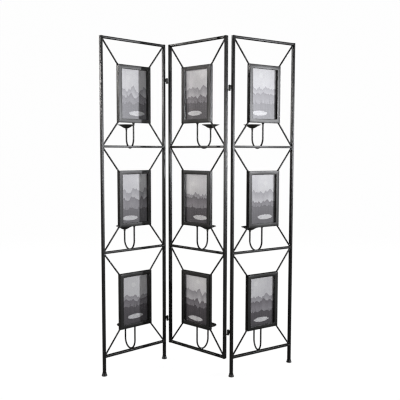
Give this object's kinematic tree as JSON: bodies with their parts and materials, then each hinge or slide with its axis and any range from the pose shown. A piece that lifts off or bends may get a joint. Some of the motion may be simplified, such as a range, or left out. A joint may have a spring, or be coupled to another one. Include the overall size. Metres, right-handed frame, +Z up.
{
  "type": "folding screen with picture frames and candle arms",
  "caption": "Black steel folding screen of hinged open panels, with glazed picture frames braced in their cells and a swivelling hairpin candle arm with a flared dish below each frame.",
  "frame": {"origin": "on the floor, under the middle of the box round the whole screen as it stands in its zigzag", "axes": "+Z up; +X along the screen from the left panel to the right panel as seen from the front; -Y towards the viewer in front"},
  "size_m": [1.0366, 0.3, 1.7686],
  "materials": {
    "black_tube": "satin black over steel tube",
    "black_frame_bar": "satin black",
    "black_round_bar": "satin black",
    "black_spun_dish": "satin black on spun sheet steel",
    "window_glass": "clear and polished",
    "hardboard": "plain brown hardboard",
    "black_foot": "moulded, slightly glossy",
    "dark_pin": "dark turned steel"
  },
  "bodies": {
    "left_panel": {"panel_frame_left": "black_tube", "picture_frame_left_top": "black_frame_bar", "glass_left_top": "window_glass", "backing_board_left_top": "hardboard", "picture_frame_left_centre": "black_frame_bar", "glass_left_centre": "window_glass", "backing_board_left_centre": "hardboard", "picture_frame_left_bottom": "black_frame_bar", "glass_left_bottom": "window_glass", "backing_board_left_bottom": "hardboard", "foot_left_inner": "black_foot", "foot_left_outer": "black_foot", "hinge_pin_left_upper": "dark_pin", "hinge_pin_left_lower": "dark_pin"},
    "middle_panel": {"panel_frame_middle": "black_tube", "picture_frame_middle_top": "black_frame_bar", "glass_middle_top": "window_glass", "backing_board_middle_top": "hardboard", "picture_frame_middle_centre": "black_frame_bar", "glass_middle_centre": "window_glass", "backing_board_middle_centre": "hardboard", "picture_frame_middle_bottom": "black_frame_bar", "glass_middle_bottom": "window_glass", "backing_board_middle_bottom": "hardboard"},
    "right_panel": {"panel_frame_right": "black_tube", "picture_frame_right_top": "black_frame_bar", "glass_right_top": "window_glass", "backing_board_right_top": "hardboard", "picture_frame_right_centre": "black_frame_bar", "glass_right_centre": "window_glass", "backing_board_right_centre": "hardboard", "picture_frame_right_bottom": "black_frame_bar", "glass_right_bottom": "window_glass", "backing_board_right_bottom": "hardboard", "foot_right_inner": "black_foot", "foot_right_outer": "black_foot", "hinge_pin_right_upper": "dark_pin", "hinge_pin_right_lower": "dark_pin"},
    "candle_arm_left_top": {"candle_arm_left_top": "black_round_bar", "candle_dish_left_top": "black_spun_dish"},
    "candle_arm_left_centre": {"candle_arm_left_centre": "black_round_bar", "candle_dish_left_centre": "black_spun_dish"},
    "candle_arm_left_bottom": {"candle_arm_left_bottom": "black_round_bar", "candle_dish_left_bottom": "black_spun_dish"},
    "candle_arm_middle_top": {"candle_arm_middle_top": "black_round_bar", "candle_dish_middle_top": "black_spun_dish"},
    "candle_arm_middle_centre": {"candle_arm_middle_centre": "black_round_bar", "candle_dish_middle_centre": "black_spun_dish"},
    "candle_arm_middle_bottom": {"candle_arm_middle_bottom": "black_round_bar", "candle_dish_middle_bottom": "black_spun_dish"},
    "candle_arm_right_top": {"candle_arm_right_top": "black_round_bar", "candle_dish_right_top": "black_spun_dish"},
    "candle_arm_right_centre": {"candle_arm_right_centre": "black_round_bar", "candle_dish_right_centre": "black_spun_dish"},
    "candle_arm_right_bottom": {"candle_arm_right_bottom": "black_round_bar", "candle_dish_right_bottom": "black_spun_dish"}
  },
  "joints": [
    {"name": "left_panel_fold", "type": "hinge", "parent": "middle_panel", "child": "left_panel", "pos_m": [-0.18452, 0.13497, 0], "axis": [0, 0, 1], "range_deg": [-113, 92.9]},
    {"name": "right_panel_fold", "type": "hinge", "parent": "middle_panel", "child": "right_panel", "pos_m": [0.14891, -0.1325, 0], "axis": [0, 0, 1], "range_deg": [-104.5, 35.5]},
    {"name": "candle_arm_swivel_left_top", "type": "hinge", "parent": "left_panel", "child": "candle_arm_left_top", "pos_m": [-0.35615, 0.00704, 1.3355], "axis": [0, 0, 1], "range_deg": [-35, 45]},
    {"name": "candle_arm_swivel_left_centre", "type": "hinge", "parent": "left_panel", "child": "candle_arm_left_centre", "pos_m": [-0.35615, 0.00704, 0.7825], "axis": [0, 0, 1], "range_deg": [-47.5, 32.5]},
    {"name": "candle_arm_swivel_left_bottom", "type": "hinge", "parent": "left_panel", "child": "candle_arm_left_bottom", "pos_m": [-0.35615, 0.00704, 0.2295], "axis": [0, 0, 1], "range_deg": [-47.5, 32.5]},
    {"name": "candle_arm_swivel_middle_top", "type": "hinge", "parent": "middle_panel", "child": "candle_arm_middle_top", "pos_m": [-0.01446, 0.00496, 1.3355], "axis": [0, 0, 1], "range_deg": [-16, 64]},
    {"name": "candle_arm_swivel_middle_centre", "type": "hinge", "parent": "middle_panel", "child": "candle_arm_middle_centre", "pos_m": [-0.01446, 0.00496, 0.7825], "axis": [0, 0, 1], "range_deg": [-36, 44]},
    {"name": "candle_arm_swivel_middle_bottom", "type": "hinge", "parent": "middle_panel", "child": "candle_arm_middle_bottom", "pos_m": [-0.01446, 0.00496, 0.2295], "axis": [0, 0, 1], "range_deg": [-31, 49]},
    {"name": "candle_arm_swivel_right_top", "type": "hinge", "parent": "right_panel", "child": "candle_arm_right_top", "pos_m": [0.33236, -0.02325, 1.3355], "axis": [0, 0, 1], "range_deg": [-48.5, 31.5]},
    {"name": "candle_arm_swivel_right_centre", "type": "hinge", "parent": "right_panel", "child": "candle_arm_right_centre", "pos_m": [0.33236, -0.02325, 0.7825], "axis": [0, 0, 1], "range_deg": [-57.5, 22.5]},
    {"name": "candle_arm_swivel_right_bottom", "type": "hinge", "parent": "right_panel", "child": "candle_arm_right_bottom", "pos_m": [0.33236, -0.02325, 0.2295], "axis": [0, 0, 1], "range_deg": [-30, 50]}
  ]
}
